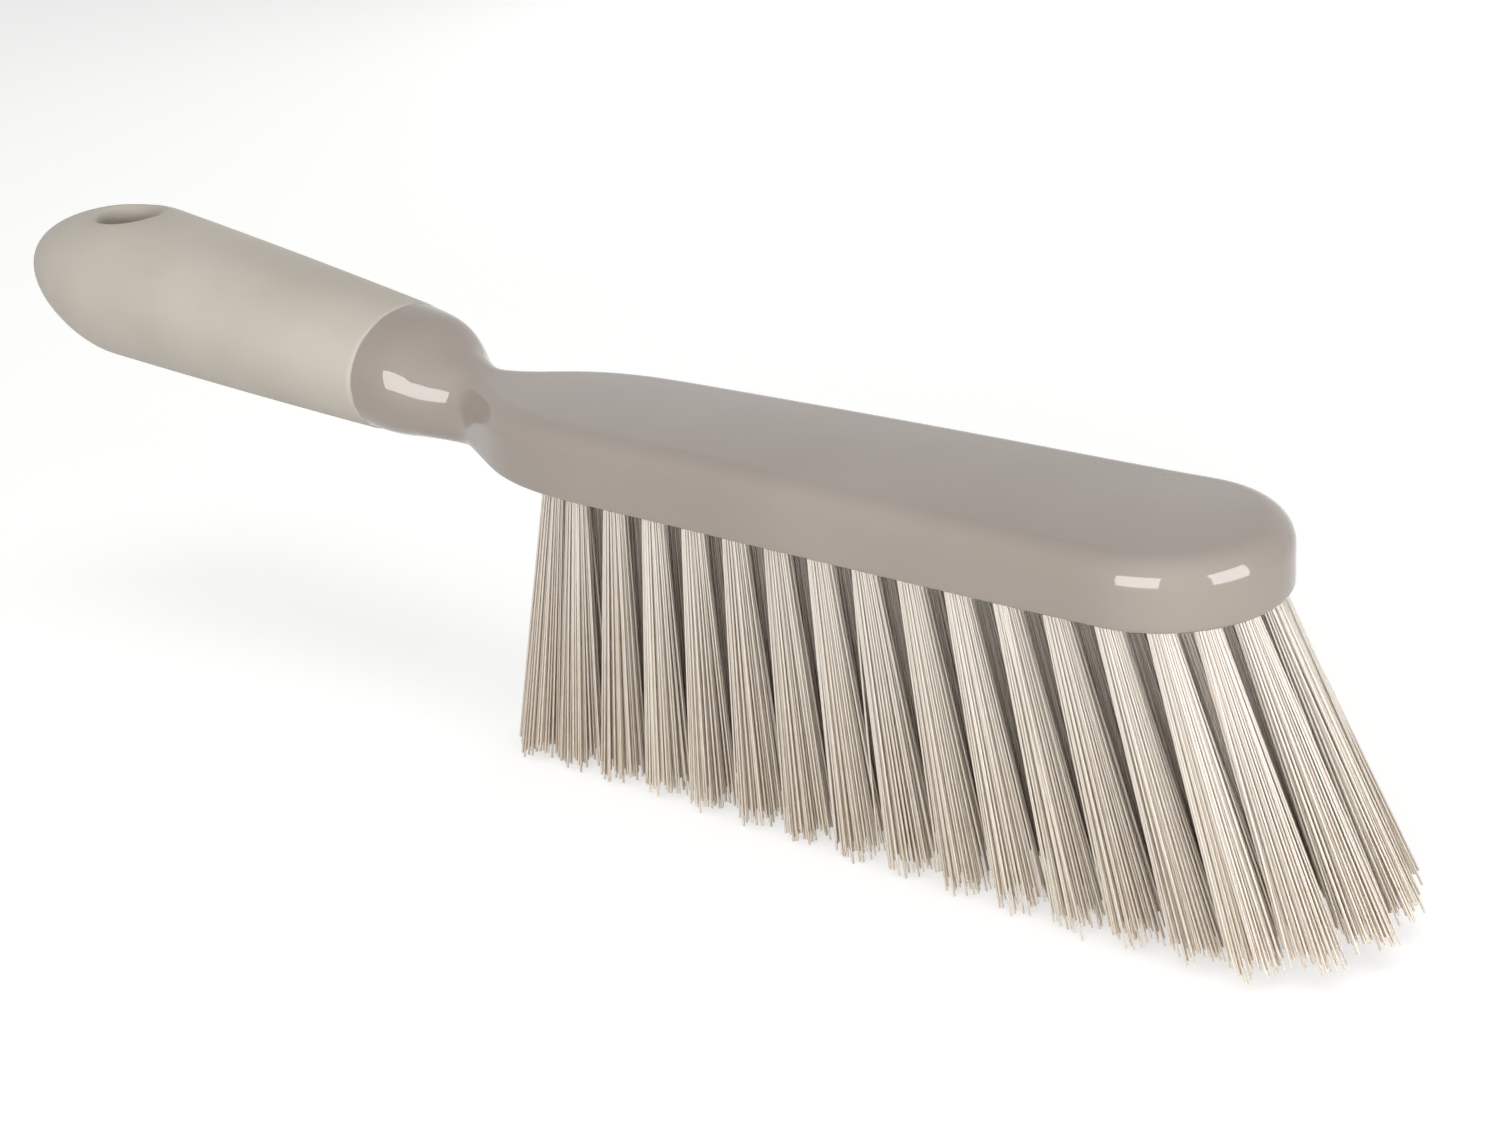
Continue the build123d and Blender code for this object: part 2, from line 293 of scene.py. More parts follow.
high = add(turning, "ShaderNodeMath", {0: high, 1: profile["Y"]}, operation="MULTIPLY").outputs[0]
place = add(turning, "ShaderNodeCombineXYZ", {0: profile["X"], 1: wide, 2: high}).outputs[0]
shape = grid.outputs["Mesh"]
for kind, inputs in (
    ("GeometryNodeSetPosition", {"Position": place}),
    ("GeometryNodeMergeByDistance", {"Distance": pole_merge_distance}),
    ("GeometryNodeRealizeInstances", {}),
    ("GeometryNodeSetMaterial", {"Material": given["Material"]}),
):
    shape = add(turning, kind, {"Geometry": shape, **inputs}).outputs[0]
turning.links.new(shape, result["Geometry"])


def turned(name, profile, axis, origin, oval=1.0, steps=96, material=None):
    """A solid turned from a profile about an axis through an origin, wider along Y."""
    points = [(along, away, 0) for along, away in profile]
    obj = new_object(name, points, [(i, i + 1) for i in range(len(points) - 1)])
    run_tree(obj, turning, Steps=steps, Oval=oval, Material=material)
    settle(obj)
    across = Vector((0, 1, 0))
    frame_of_axis = Matrix((axis, across, axis.cross(across))).transposed().to_4x4()
    obj.data.transform(Matrix.Translation(origin) @ frame_of_axis)
    tidy_surface(obj)
    return obj


front_half = grip_heights[0] / 2 - grip_proud
front_row = (
    0,
    front_half * grip_oval_share / nose_radius,
    (grip_rise + front_half) / block_thickness,
    (grip_rise - front_half) / block_thickness,
    1.0,
    1.0,
)
sections = np.array([front_row] + section_shares)
block_rings = []
for along, away in reversed(handle_profile(grip_wall)):
    half = max(away, pole_radius)
    place = grip_front + along_handle * along
    block_rings.append(ring(half * grip_oval_share, half, 1, place, grip_tilt))
neck_places = np.linspace(0, straight_share, neck_rings)
block_places = np.linspace(straight_share, 1, block_rings_ahead)[1:]
for along in np.concatenate([neck_places, block_places]):
    values = [natural_spline(sections[:, 0], sections[:, i], along) for i in range(1, 6)]
    width, top, bottom, roundness, lean = values
    half = block_thickness * (top - bottom) / 2
    height = bristle_length + block_thickness * (top + bottom) / 2
    place = Vector((grip_front.x + block_run * along, 0, height))
    block_rings.append(ring(nose_radius * width, half, min(max(roundness, 0), 1), place, grip_tilt * lean))
points, faces = skin(block_rings, closed=True)
faces.append(tuple(range(len(block_rings[0]))))
nose_half = block_thickness * sections[-1, 2] / 2
nose_middle = bristle_length + nose_half
nose_strips = []
for turn in np.linspace(0, math.pi, nose_strips_round):
    half = half_section(nose_radius, nose_half, 0)
    nose_strips.append([(nose_x + y * math.sin(turn), y * math.cos(turn), nose_middle + z) for y, z in half])
nose_points, nose_faces = skin(nose_strips, closed=False)
faces += [tuple(len(points) + i for i in face) for face in nose_faces]
points += nose_points
block = new_object("moulded_block", points, faces=faces)
tidy_surface(block)

# Holes for the tufts: blind, each drilled along its tuft's own lean
tuft_pitch = 9.6 * mm
tuft_hole_radius = 2.4 * mm
tuft_hole_depth = 9.0 * mm
drill_overrun = 3.0 * mm
drill_sides = 24
outer_tuft_inset = 4.6 * mm
tuft_circle = nose_radius - outer_tuft_inset
straight_tufts = 13
first_tuft_inset = 1.4 * mm
nose_pairs = 3
tail_tuft_pitch = 8.0 * mm
tail_tuft_share = 0.83
inner_tuft_share = 0.34
inner_tufts = straight_tufts + 2
inner_lag = 1.5 * tuft_pitch
rear_fan_share = -0.13
front_fan_share = 0.315
side_flare_share = 0.035
tail_flare_share = 0.10
nose_flare_share = 0.12


def outer_line(x):
    """Distance of the outer tufts from the middle of the broom, beside x."""
    share = (nose_x - x) / (block_run * (1 - straight_share))
    return tuft_circle - share * nose_radius * (1 - rear_width_share)


def fan(x):
    """Lean along the broom of a straight tuft that stands at x."""
    share = (nose_x - x) / (tuft_pitch * straight_tufts)
    return front_fan_share + share * (rear_fan_share - front_fan_share)


def mirrored(x, y, lean, flare):
    """A tuft and its twin across the broom."""
    return [(x, side * y, lean, side * flare) for side in (-1, 1)]


tufts = {}
rear_x = nose_x - first_tuft_inset - (straight_tufts - 1) * tuft_pitch
tail_tuft_x = rear_x - tail_tuft_pitch
tail_tuft_y = outer_line(tail_tuft_x) * tail_tuft_share
tufts["outer_tufts_01"] = mirrored(tail_tuft_x, tail_tuft_y, fan(tail_tuft_x), tail_flare_share)
for number in range(straight_tufts):
    x = rear_x + number * tuft_pitch
    tufts[f"outer_tufts_{number + 2:02d}"] = mirrored(x, outer_line(x), fan(x), side_flare_share)
for number in range(inner_tufts):
    x = rear_x - inner_lag + number * tuft_pitch
    tufts[f"inner_tufts_{number + 1:02d}"] = mirrored(x, outer_line(x) * inner_tuft_share, fan(x), 0)
for number in range(1, nose_pairs + 1):
    turn = number * math.pi / (2 * nose_pairs + 1)
    flare = side_flare_share + (nose_flare_share - side_flare_share) * math.sin(turn)
    x = nose_x + tuft_circle * math.sin(turn)
    lean = front_fan_share + flare * math.sin(turn)
    tufts[f"nose_tufts_{number}"] = mirrored(x, tuft_circle * math.cos(turn), lean, flare * math.cos(turn))


def tuft_roots(name, some):
    """A mesh with one point where each tuft leaves the block, which holds its lean."""
    obj = new_object(name, [(x, y, bristle_length) for x, y, lean, flare in some])
    leans = obj.data.attributes.new("lean", "FLOAT_VECTOR", "POINT")
    leans.data.foreach_set("vector", [value for x, y, lean, flare in some for value in (lean, flare, 0)])
    return obj


drilling, given, result = new_tree(
    "Drilled holes",
    Radius="Float",
    Depth="Float",
    Overrun="Float",
    Sides="Int",
    Material="Material",
)
lean = add(drilling, "GeometryNodeInputNamedAttribute", {"Name": "lean"}, data_type="FLOAT_VECTOR").outputs[0]
bore_axis = add(drilling, "ShaderNodeVectorMath", {0: (0, 0, 1), 1: lean}, operation="SUBTRACT").outputs[0]
aim = add(drilling, "FunctionNodeAlignRotationToVector", {"Vector": bore_axis}, axis="Z").outputs[0]
depth, overrun = given["Depth"], given["Overrun"]
length = add(drilling, "ShaderNodeMath", {0: depth, 1: overrun}, operation="ADD").outputs[0]
drill = add(
    drilling,
    "GeometryNodeMeshCylinder",
    {"Vertices": given["Sides"], "Radius": given["Radius"], "Depth": length},
).outputs["Mesh"]
middle = add(drilling, "ShaderNodeMath", {0: depth, 1: overrun}, operation="SUBTRACT").outputs[0]
middle = add(drilling, "ShaderNodeMath", {0: middle, 1: 2.0}, operation="DIVIDE").outputs[0]
middle = add(drilling, "ShaderNodeCombineXYZ", {2: middle}).outputs[0]
drill = add(drilling, "GeometryNodeTransform", {"Geometry": drill, "Translation": middle}).outputs[0]
holes = add(
    drilling,
    "GeometryNodeInstanceOnPoints",
    {"Points": given["Geometry"], "Instance": drill, "Rotation": aim},
).outputs[0]
holes = add(drilling, "GeometryNodeRealizeInstances", {"Geometry": holes}).outputs[0]
holes = add(
    drilling,
    "GeometryNodeSetMaterial",
    {"Geometry": holes, "Material": given["Material"]},
).outputs[0]
drilling.links.new(holes, result["Geometry"])


def linear(code):
    """Linear colour of an sRGB hex code."""
    values = [int(code[i:i + 2], 16) / 255 for i in (1, 3, 5)]
    return (*[v / 12.92 if v <= 0.04045 else ((v + 0.055) / 1.055) ** 2.4 for v in values], 1)


def new_material(name, **shader):
    """A material with its shader set, its tree, the shader node and the object's own coordinates."""
    material = bpy.data.materials.new(name)
    material.use_nodes = True
    tree = material.node_tree
    surface = tree.nodes["Principled BSDF"]
    for key, value in shader.items():
        surface.inputs[key.replace("_", " ")].default_value = value
    return material, tree, surface, add(tree, "ShaderNodeTexCoord").outputs["Object"]


# Glossy polypropylene, moulded in a polished tool: a smooth warm grey with clear reflections,
# a faint flow of tone, the slight waviness of shrinkage and a few dark specks in the resin.
# A Mix node takes its two colours as inputs 6 and 7 and gives the mixed one as output 2.
flow_size = 38 * mm
speck_spacing = 13 * mm
handling_size = 9 * mm
shrinkage_size = 7 * mm
shrinkage_depth = 0.05 * mm
block_plastic, tree, surface, place = new_material("Glossy moulded polypropylene", IOR=1.49)
flow = add(tree, "ShaderNodeTexNoise", {"Vector": place, "Scale": 1 / flow_size, "Detail": 2.0}).outputs[0]
flow = add(tree, "ShaderNodeMapRange", {"Value": flow, "From Min": 0.35, "From Max": 0.65}).outputs[0]
tone = add(
    tree,
    "ShaderNodeMix",
    {0: flow, 6: linear("#9F948A"), 7: linear("#A69B92")},
    data_type="RGBA",
).outputs[2]
cells = add(tree, "ShaderNodeTexVoronoi", {"Vector": place, "Scale": 1 / speck_spacing})
speck = add(
    tree,
    "ShaderNodeMapRange",
    {"Value": cells.outputs["Distance"], "From Min": 0.014, "From Max": 0.02, "To Min": 1, "To Max": 0},
).outputs[0]
chosen = add(tree, "ShaderNodeSeparateColor", {0: cells.outputs["Color"]}).outputs[0]
chosen = add(tree, "ShaderNodeMath", {0: chosen, 1: 0.72}, operation="GREATER_THAN").outputs[0]
speck = add(tree, "ShaderNodeMath", {0: speck, 1: chosen}, operation="MULTIPLY").outputs[0]
tone = add(tree, "ShaderNodeMix", {0: speck, 6: tone, 7: linear("#6B6058")}, data_type="RGBA").outputs[2]
tree.links.new(tone, surface.inputs["Base Color"])
handling = add(
    tree,
    "ShaderNodeTexNoise",
    {"Vector": place, "Scale": 1 / handling_size, "Detail": 4.0},
).outputs[0]
handling = add(
    tree,
    "ShaderNodeMapRange",
    {"Value": handling, "From Min": 0.3, "From Max": 0.7, "To Min": 0.03, "To Max": 0.06},
).outputs[0]
tree.links.new(handling, surface.inputs["Roughness"])
shrinkage = add(
    tree,
    "ShaderNodeTexNoise",
    {"Vector": place, "Scale": 1 / shrinkage_size, "Detail": 1.0},
).outputs[0]
bump = add(tree, "ShaderNodeBump", {"Strength": 0.12, "Distance": shrinkage_depth, "Height": shrinkage})
tree.links.new(bump.outputs[0], surface.inputs["Normal"])

drill_bits = tuft_roots("drill_bits", [tuft for some in tufts.values() for tuft in some])
run_tree(
    drill_bits,
    drilling,
    Radius=tuft_hole_radius,
    Depth=tuft_hole_depth,
    Overrun=drill_overrun,
    Sides=drill_sides,
    Material=block_plastic,
)
settle(drill_bits)
eye_radius = hang_hole_radius + grip_wall
eye_reach = grip_heights[2]
eye_profile = [(-eye_reach, 0), (-eye_reach, eye_radius), (eye_reach, eye_radius), (eye_reach, 0)]
eye = turned("eye", eye_profile, handle_up, hole_centre)
cut(block, drill_bits)
cut(block, eye)
settle(block)
tidy_surface(block)
block.data.materials.clear()
block.data.materials.append(block_plastic)
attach(block, "root")
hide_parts("brush_block")
bpy.data.objects.remove(drill_bits)


# Anchors: flat steel wire, cut and driven across the bottom of each hole over the fold of its
# tuft. They are sealed in the block, so they keep their plain shape.
# Drawn steel wire: a dull grey metal, streaked by the die.
streak_size = 0.4 * mm
wire, tree, surface, place = new_material("Drawn steel wire", Metallic=1.0)
drawn = add(tree, "ShaderNodeTexNoise", {"Vector": place, "Scale": 1 / streak_size, "Detail": 3.0}).outputs[0]
tone = add(
    tree,
    "ShaderNodeMix",
    {0: drawn, 6: linear("#8E8E8C"), 7: linear("#B4B4B2")},
    data_type="RGBA",
).outputs[2]
tree.links.new(tone, surface.inputs["Base Color"])
dull = add(
    tree,
    "ShaderNodeMapRange",
    {"Value": drawn, "From Min": 0.3, "From Max": 0.7, "To Min": 0.3, "To Max": 0.45},
).outputs[0]
tree.links.new(dull, surface.inputs["Roughness"])
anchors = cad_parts["tuft_anchors"]
anchors.data.materials.clear()
anchors.data.materials.append(wire)


# Tufts: bundles of drawn polyester filament, folded double round their anchors. They leave the
# holes tightly packed, spread towards their tips and are trimmed unevenly down to the floor,
# with a few filaments that wander off.
filament_radius = 0.21 * mm
filament_sides = 4
filaments_in_tuft = 92
filament_length = 59.0 * mm
filament_root_depth = 3.0 * mm
filament_trim = 4.0 * mm
filament_wander = 0.25 * mm
filament_bow = 0.12 * mm
stray_share = 0.06
stray_gain = 7.0
packed_radius = tuft_hole_radius - 2 * filament_radius
spread_radius = 4.7 * mm
golden_turn = math.pi * (3 - math.sqrt(5))
sprouting, given, result = new_tree(
    "Tufts of filament",
    Filaments="Int",
    Packed_radius="Float",
    Spread_radius="Float",
    Filament_radius="Float",
    Sides="Int",
    Cut_length="Float",
    Reach="Float",
    Root_depth="Float",
    Trim="Float",
    Wander="Float",
    Stray_share="Float",
    Stray_gain="Float",
    Bow="Float",
    Seed="Int",
    Material="Material",
)

# Each filament's place in its bundle, on the even spiral of a seed head
copies = add(
    sprouting,
    "GeometryNodeDuplicateElements",
    {"Geometry": given["Geometry"], "Amount": given["Filaments"]},
    domain="POINT",
)
number = copies.outputs["Duplicate Index"]
away = add(sprouting, "ShaderNodeMath", {0: number, 1: 0.5}, operation="ADD").outputs[0]
away = add(sprouting, "ShaderNodeMath", {0: away, 1: given["Filaments"]}, operation="DIVIDE").outputs[0]
away = add(sprouting, "ShaderNodeMath", {0: away}, operation="SQRT").outputs[0]
around = add(sprouting, "ShaderNodeMath", {0: number, 1: golden_turn}, operation="MULTIPLY").outputs[0]
along = add(sprouting, "ShaderNodeMath", {0: around}, operation="COSINE").outputs[0]
across = add(sprouting, "ShaderNodeMath", {0: around}, operation="SINE").outputs[0]
disc = add(sprouting, "ShaderNodeCombineXYZ", {0: along, 1: across}).outputs[0]
disc = add(sprouting, "ShaderNodeVectorMath", {0: disc, "Scale": away}, operation="SCALE").outputs[0]

# What differs from filament to filament: each random draw has a seed of its own
draws = {}
for use, offset, kind, inputs, socket in (
    ("trim", 11, "FLOAT", {}, 1),
    ("stray", 23, "BOOLEAN", {"Probability": given["Stray share"]}, 3),
    ("drift", 37, "FLOAT_VECTOR", {0: (-1, -1, 0), 1: (1, 1, 0)}, 0),
    ("bow", 41, "FLOAT_VECTOR", {0: (-1, -1, 0), 1: (1, 1, 0)}, 0),
    ("tone", 53, "FLOAT", {}, 1),
):
    seed = add(sprouting, "ShaderNodeMath", {0: given["Seed"], 1: offset}, operation="ADD").outputs[0]
    draw = add(sprouting, "FunctionNodeRandomValue", {"Seed": seed, **inputs}, data_type=kind)
    draws[use] = draw.outputs[socket]

# How far each filament drops: to its cut length or the floor, less what the trim takes
lean = add(sprouting, "GeometryNodeInputNamedAttribute", {"Name": "lean"}, data_type="FLOAT_VECTOR").outputs[0]
heading = add(sprouting, "ShaderNodeVectorMath", {0: lean, 1: (0, 0, 1)}, operation="SUBTRACT").outputs[0]
stretch = add(sprouting, "ShaderNodeVectorMath", {0: heading}, operation="LENGTH").outputs["Value"]
drop = add(sprouting, "ShaderNodeMath", {0: given["Cut length"], 1: stretch}, operation="DIVIDE").outputs[0]
drop = add(sprouting, "ShaderNodeMath", {0: given["Reach"], 1: drop}, operation="MINIMUM").outputs[0]
ragged = add(sprouting, "ShaderNodeMath", {0: draws["trim"], 1: given["Trim"]}, operation="MULTIPLY")
drop = add(sprouting, "ShaderNodeMath", {0: drop, 1: ragged.outputs[0]}, operation="SUBTRACT").outputs[0]

# Where each filament starts, in its hole, and where it ends
mouth = add(sprouting, "GeometryNodeInputPosition").outputs[0]
root_at = mouth
for offset, scale, operation in (
    (disc, given["Packed radius"], "ADD"),
    (heading, given["Root depth"], "SUBTRACT"),
):
    step = add(sprouting, "ShaderNodeVectorMath", {0: offset, "Scale": scale}, operation="SCALE").outputs[0]
    root_at = add(sprouting, "ShaderNodeVectorMath", {0: root_at, 1: step}, operation=operation).outputs[0]
gain = add(
    sprouting,
    "ShaderNodeMath",
    {0: draws["stray"], 1: given["Stray gain"], 2: 1.0},
    operation="MULTIPLY_ADD",
).outputs[0]
wander = add(sprouting, "ShaderNodeMath", {0: gain, 1: given["Wander"]}, operation="MULTIPLY").outputs[0]
tip_at = mouth
for offset, scale in ((disc, given["Spread radius"]), (draws["drift"], wander), (heading, drop)):
    step = add(sprouting, "ShaderNodeVectorMath", {0: offset, "Scale": scale}, operation="SCALE").outputs[0]
    tip_at = add(sprouting, "ShaderNodeVectorMath", {0: tip_at, 1: step}, operation="ADD").outputs[0]
bow = add(sprouting, "ShaderNodeVectorMath", {0: draws["bow"], "Scale": given["Bow"]}, operation="SCALE")
strands = copies.outputs["Geometry"]
for name, value, kind in (
    ("root_at", root_at, "FLOAT_VECTOR"),
    ("tip_at", tip_at, "FLOAT_VECTOR"),
    ("bow", bow.outputs[0], "FLOAT_VECTOR"),
    ("tone", draws["tone"], "FLOAT"),
):
    inputs = {"Geometry": strands, "Name": name, "Value": value}
    strands = add(sprouting, "GeometryNodeStoreNamedAttribute", inputs, data_type=kind).outputs[0]

# One slightly bowed line for each filament, thickened to its section
line = add(sprouting, "GeometryNodeCurvePrimitiveLine", {"End": (0, 0, 1)}).outputs[0]
line = add(sprouting, "GeometryNodeResampleCurve", {"Curve": line, "Count": 5}).outputs[0]
strands = add(sprouting, "GeometryNodeInstanceOnPoints", {"Points": strands, "Instance": line}).outputs[0]
strands = add(sprouting, "GeometryNodeRealizeInstances", {"Geometry": strands}).outputs[0]
along = add(sprouting, "GeometryNodeSplineParameter").outputs["Factor"]
strands = add(
    sprouting,
    "GeometryNodeStoreNamedAttribute",
    {"Geometry": strands, "Name": "along", "Value": along},
    data_type="FLOAT",
).outputs[0]
kept = {}
for name in ("root_at", "tip_at", "bow"):
    reading = add(sprouting, "GeometryNodeInputNamedAttribute", {"Name": name}, data_type="FLOAT_VECTOR")
    kept[name] = reading.outputs[0]
left = add(sprouting, "ShaderNodeMath", {0: 1.0, 1: along}, operation="SUBTRACT").outputs[0]
swell = add(sprouting, "ShaderNodeMath", {0: along, 1: left}, operation="MULTIPLY").outputs[0]
swell = add(sprouting, "ShaderNodeMath", {0: swell, 1: 4.0}, operation="MULTIPLY").outputs[0]
run = add(sprouting, "ShaderNodeVectorMath", {0: kept["tip_at"], 1: kept["root_at"]}, operation="SUBTRACT")
course = kept["root_at"]
for offset, scale in ((run.outputs[0], along), (kept["bow"], swell)):
    step = add(sprouting, "ShaderNodeVectorMath", {0: offset, "Scale": scale}, operation="SCALE").outputs[0]
    course = add(sprouting, "ShaderNodeVectorMath", {0: course, 1: step}, operation="ADD").outputs[0]
strands = add(sprouting, "GeometryNodeSetPosition", {"Geometry": strands, "Position": course}).outputs[0]
section = add(
    sprouting,
    "GeometryNodeCurvePrimitiveCircle",
    {"Resolution": given["Sides"], "Radius": given["Filament radius"]},
).outputs[0]
strands = add(
    sprouting,
    "GeometryNodeCurveToMesh",
    {"Curve": strands, "Profile Curve": section, "Fill Caps": True},
).outputs[0]
for name in kept:
    strands = add(sprouting, "GeometryNodeRemoveAttribute", {"Geometry": strands, "Name": name}).outputs[0]
for kind, inputs in (
    ("GeometryNodeSetShadeSmooth", {}),
    ("GeometryNodeRealizeInstances", {}),
    ("GeometryNodeSetMaterial", {"Material": given["Material"]}),
):
    strands = add(sprouting, kind, {"Geometry": strands, **inputs}).outputs[0]
sprouting.links.new(strands, result["Geometry"])

# Drawn polyester filament: cream, a little shiny along its length, each one of its own shade,
# and slightly warmer towards the trimmed tip
tint_size = 2.5 * mm
filament, tree, surface, place = new_material("Drawn polyester filament", IOR=1.57, Roughness=0.32)
along = add(tree, "ShaderNodeAttribute", attribute_name="along").outputs["Fac"]
shade = add(tree, "ShaderNodeAttribute", attribute_name="tone").outputs["Fac"]
pale = add(
    tree,
    "ShaderNodeMix",
    {0: shade, 6: linear("#DED4C8"), 7: linear("#F2EAE0")},
    data_type="RGBA",
).outputs[2]
warm = add(
    tree,
    "ShaderNodeMix",
    {0: shade, 6: linear("#D2C2AE"), 7: linear("#E6D9C7")},
    data_type="RGBA",
).outputs[2]
tint = add(tree, "ShaderNodeTexNoise", {"Vector": place, "Scale": 1 / tint_size, "Detail": 2.0}).outputs[0]
tint = add(tree, "ShaderNodeMath", {0: along, 1: tint}, operation="MULTIPLY").outputs[0]
tint = add(tree, "ShaderNodeMapRange", {"Value": tint, "From Min": 0.1, "From Max": 0.6}).outputs[0]
tone = add(tree, "ShaderNodeMix", {0: tint, 6: pale, 7: warm}, data_type="RGBA").outputs[2]
tree.links.new(tone, surface.inputs["Base Color"])

for seed, (node, some) in enumerate(tufts.items()):
    bundle = tuft_roots("filaments_" + node, some)
    run_tree(
        bundle,
        sprouting,
        Filaments=filaments_in_tuft,
        Packed_radius=packed_radius,
        Spread_radius=spread_radius,
        Filament_radius=filament_radius,
        Sides=filament_sides,
        Cut_length=filament_length,
        Reach=bristle_length,
        Root_depth=filament_root_depth,
        Trim=filament_trim,
        Wander=filament_wander,
        Stray_share=stray_share,
        Stray_gain=stray_gain,
        Bow=filament_bow,
        Seed=100 * seed,
        Material=filament,
    )
    settle(bundle)
    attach(bundle, "root")
    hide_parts(node)


# Soft grip: a sleeve of thermoplastic rubber, moulded over the core of the handle in a second
# shot. It closes over the tail, lines the hang hole with rounded mouths, and stands a little
# proud of the block's moulding at its front end.
hang_hole_lip = 5.0 * mm
lip_steps = 16
sleeve_steps = 128
sleeve_faces = 0.65 * mm
cut_overrun = 12.0 * mm

# Moulded thermoplastic rubber: light beige and matte, a little cloudy, with the even grain of an
# etched tool. The grain is drawn coarser than the real one, so that it shows.
cloud_size = 30 * mm
wear_size = 12 * mm
grain_size = 0.5 * mm
grain_depth = 0.02 * mm
rubber, tree, surface, place = new_material("Moulded thermoplastic rubber", IOR=1.5, Specular_IOR_Level=0.35)
cloud = add(tree, "ShaderNodeTexNoise", {"Vector": place, "Scale": 1 / cloud_size, "Detail": 3.0}).outputs[0]
cloud = add(tree, "ShaderNodeMapRange", {"Value": cloud, "From Min": 0.35, "From Max": 0.65}).outputs[0]
tone = add(
    tree,
    "ShaderNodeMix",
    {0: cloud, 6: linear("#C0B9AD"), 7: linear("#C8C1B6")},
    data_type="RGBA",
).outputs[2]
tree.links.new(tone, surface.inputs["Base Color"])
wear = add(tree, "ShaderNodeTexNoise", {"Vector": place, "Scale": 1 / wear_size, "Detail": 3.0}).outputs[0]
wear = add(
    tree,
    "ShaderNodeMapRange",
    {"Value": wear, "From Min": 0.3, "From Max": 0.7, "To Min": 0.56, "To Max": 0.68},
).outputs[0]
tree.links.new(wear, surface.inputs["Roughness"])
grain = add(tree, "ShaderNodeTexNoise", {"Vector": place, "Scale": 1 / grain_size, "Detail": 2.0}).outputs[0]
bump = add(tree, "ShaderNodeBump", {"Strength": 0.25, "Distance": grain_depth, "Height": grain})
tree.links.new(bump.outputs[0], surface.inputs["Normal"])

outer_profile = [(0, 0)] + handle_profile(0)
grip = turned("soft_sleeve", outer_profile, along_handle, grip_front, grip_oval_share, sleeve_steps, rubber)
core_profile = handle_profile(grip_wall)
core_profile = [(-cut_overrun, 0), (-cut_overrun, core_profile[0][1])] + core_profile
cavity = turned("cavity", core_profile, along_handle, grip_front, grip_oval_share, sleeve_steps, rubber)
mouth = grip_heights[2] / 2
lip_centre = (mouth - hang_hole_lip, hang_hole_radius + hang_hole_lip)
bore_profile = [(mouth + cut_overrun, 0), (mouth + cut_overrun, lip_centre[1]), (mouth, lip_centre[1])]
bore_profile += arc(lip_centre, (hang_hole_lip, hang_hole_lip), 0, -math.pi / 2, lip_steps)
bore_profile += [(-along, away) for along, away in reversed(bore_profile)]
bore = turned("bore", bore_profile, handle_up, hole_centre, material=rubber)
cut(cavity, eye)
cut(grip, cavity)
cut(grip, bore)
remesh = grip.modifiers.new("Even faces", "REMESH")
remesh.mode = "VOXEL"
remesh.voxel_size = sleeve_faces
soften = grip.modifiers.new("Soft edges", "SMOOTH")
soften.factor = 0.5
soften.iterations = 6
settle(grip)
grip.data.shade_smooth()
grip.data.materials.clear()
grip.data.materials.append(rubber)
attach(grip, "root")
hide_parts("soft_grip")
for tool in (eye, cavity, bore):
    bpy.data.objects.remove(tool)


# Studio: a pale paper floor under soft, even light from lamps all round, and two softboxes at
# the camera's side that only the gloss mirrors, as the bright marks on the moulding
floor_half = 3.0
floor_lift = 0.6
fill_level = 0.26
corners = [(-floor_half, -floor_half, 0), (floor_half, -floor_half, 0)]
corners += [(-x, -y, 0) for x, y, z in corners]
floor = new_object("floor", corners, faces=[(0, 1, 2, 3)])
paper = bpy.data.materials.new("Pale paper sweep")
paper.use_nodes = True
tree = paper.node_tree
tree.nodes.remove(tree.nodes["Principled BSDF"])
matte = add(tree, "ShaderNodeBsdfDiffuse", {"Color": linear("#CACAC8")}).outputs[0]


def shown(tree):
    """1 for what the camera sees, itself or in a reflection or through something clear."""
    rays = add(tree, "ShaderNodeLightPath").outputs
    seen = rays["Is Camera Ray"]
    for kind in ("Is Glossy Ray", "Is Transmission Ray"):
        seen = add(tree, "ShaderNodeMath", {0: seen, 1: rays[kind]}, operation="MAXIMUM").outputs[0]
    return seen


lift = add(tree, "ShaderNodeMath", {0: shown(tree), 1: floor_lift}, operation="MULTIPLY").outputs[0]
glow = add(tree, "ShaderNodeEmission", {"Color": (1, 1, 1, 1), "Strength": lift}).outputs[0]
both = add(tree, "ShaderNodeAddShader", {0: matte, 1: glow}).outputs[0]
tree.links.new(both, tree.nodes["Material Output"].inputs["Surface"])
floor.data.materials.append(paper)

world = bpy.data.worlds.new("Soft studio")
bpy.context.scene.world = world
world.use_nodes = True
tree = world.node_tree
background = tree.nodes["Background"]
background.inputs["Color"].default_value = (1, 1, 1, 1)
level = add(tree, "ShaderNodeMapRange", {"Value": shown(tree), "To Min": fill_level, "To Max": 1}).outputs[0]
tree.links.new(level, background.inputs["Strength"])

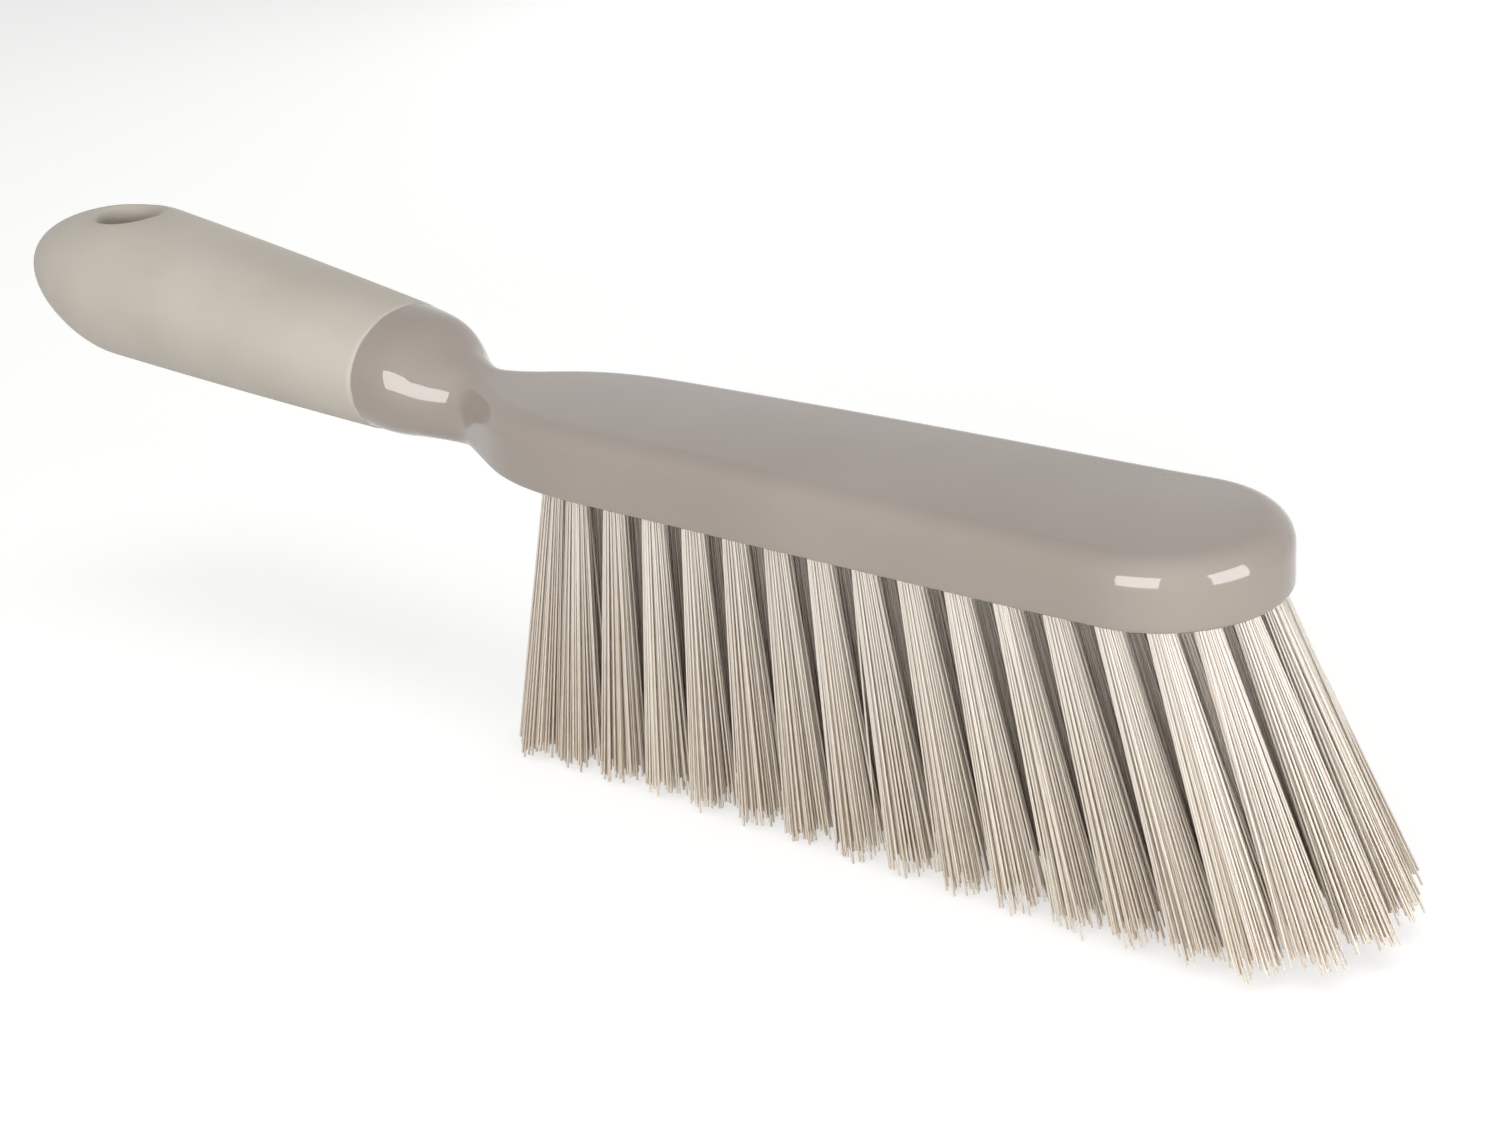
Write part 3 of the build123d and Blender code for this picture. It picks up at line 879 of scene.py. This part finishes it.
camera_azimuth = math.radians(40.241)
camera_elevation = math.radians(22.961)
camera_roll = math.radians(-5.332)
camera_ahead = 175.152 * mm
camera_aside = 310.588 * mm
camera_above = 158.424 * mm
camera_place = Vector((nose_x + camera_ahead, -camera_aside, bristle_length + camera_above))
toward = Vector((
    math.sin(camera_azimuth) * math.cos(camera_elevation),
    -math.cos(camera_azimuth) * math.cos(camera_elevation),
    math.sin(camera_elevation),
))
level_right = Vector((0, 0, 1)).cross(toward).normalized()
level_up = toward.cross(level_right)
right = level_right * math.cos(camera_roll) + level_up * math.sin(camera_roll)
up = level_up * math.cos(camera_roll) - level_right * math.sin(camera_roll)
camera = bpy.data.objects.new("camera", bpy.data.cameras.new("camera"))
bpy.context.scene.collection.objects.link(camera)
camera.matrix_world = Matrix.Translation(camera_place) @ Matrix((right, up, toward)).transposed().to_4x4()
camera.data.sensor_width = 36
camera.data.lens = 56.61
camera.data.clip_start = 1 * mm
camera.data.clip_end = 50
bpy.context.scene.camera = camera


def softbox(name, place, width, height, brightness, mirrored=False):
    """A lamp so many times as bright as white, which lights the broom or is mirrored in its gloss."""
    lamp = bpy.data.lights.new(name, "AREA")
    lamp.shape = "RECTANGLE"
    lamp.size = width
    lamp.size_y = height
    lamp.energy = brightness * math.pi * width * height
    obj = bpy.data.objects.new(name, lamp)
    obj.visible_glossy = mirrored
    obj.visible_diffuse = not mirrored
    bpy.context.scene.collection.objects.link(obj)
    direction = Vector(place) - Vector((0, 0, bristle_length))
    turn = direction.to_track_quat("Z", "Y").to_matrix().to_4x4()
    obj.matrix_world = Matrix.Translation(place) @ turn


softbox("front mark", place=(0.20, -0.85, 0.32), width=0.60, height=0.56, brightness=8.0, mirrored=True)
softbox("right mark", place=(0.83, -0.04, 0.22), width=0.46, height=0.46, brightness=8.0, mirrored=True)
softbox("front", place=(0.38, -0.80, 0.16), width=0.60, height=0.50, brightness=6.4)
softbox("right", place=(0.83, -0.04, 0.20), width=0.48, height=0.28, brightness=5.0)
softbox("key", place=(-0.75, -0.55, 0.70), width=0.7, height=0.7, brightness=0.4)
softbox("top", place=(0.10, -0.15, 1.25), width=1.0, height=0.7, brightness=1.9)
softbox("back", place=(-0.20, 0.90, 0.20), width=0.7, height=0.5, brightness=3.0)

bpy.context.scene.view_settings.view_transform = "Standard"
